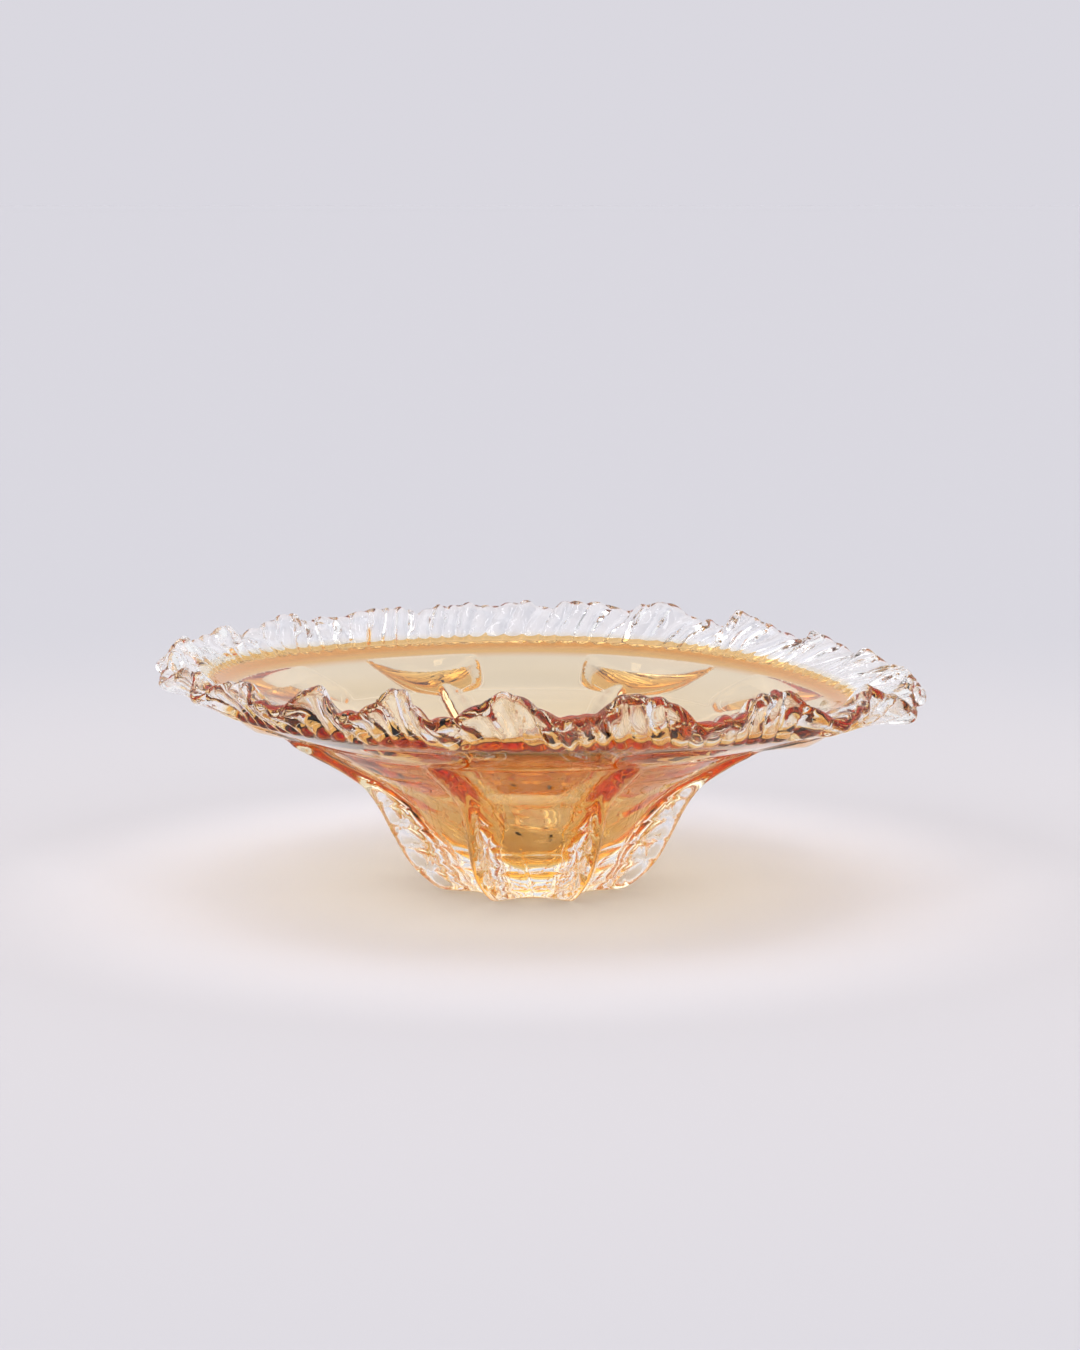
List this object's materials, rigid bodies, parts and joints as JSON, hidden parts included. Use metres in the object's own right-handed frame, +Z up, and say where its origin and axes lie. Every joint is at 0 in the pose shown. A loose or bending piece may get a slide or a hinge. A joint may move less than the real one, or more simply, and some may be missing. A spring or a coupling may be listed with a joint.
{
  "type": "art glass bowl",
  "caption": "Round amber glass bowl with a wide flange, a clear casing, a ruffled clear rim and radial clear fins that it stands on.",
  "frame": {"origin": "centre of the foot, on the table", "axes": "+Z up, +X along the longer side of the rim, -Y towards the front"},
  "size_m": [0.341, 0.328, 0.1114],
  "materials": {
    "amber_glass": "fire-polished, transparent amber",
    "clear_glass": "fire-polished, clear and colourless"
  },
  "bodies": {
    "root": {"amber_bowl": "amber_glass", "clear_casing": "clear_glass", "fin_right_back": "clear_glass", "fin_back_right": "clear_glass", "fin_back_left": "clear_glass", "fin_left_back": "clear_glass", "fin_left_front": "clear_glass", "fin_front_left": "clear_glass", "fin_front_right": "clear_glass", "fin_right_front": "clear_glass", "rim_trail": "clear_glass"}
  },
  "joints": []
}
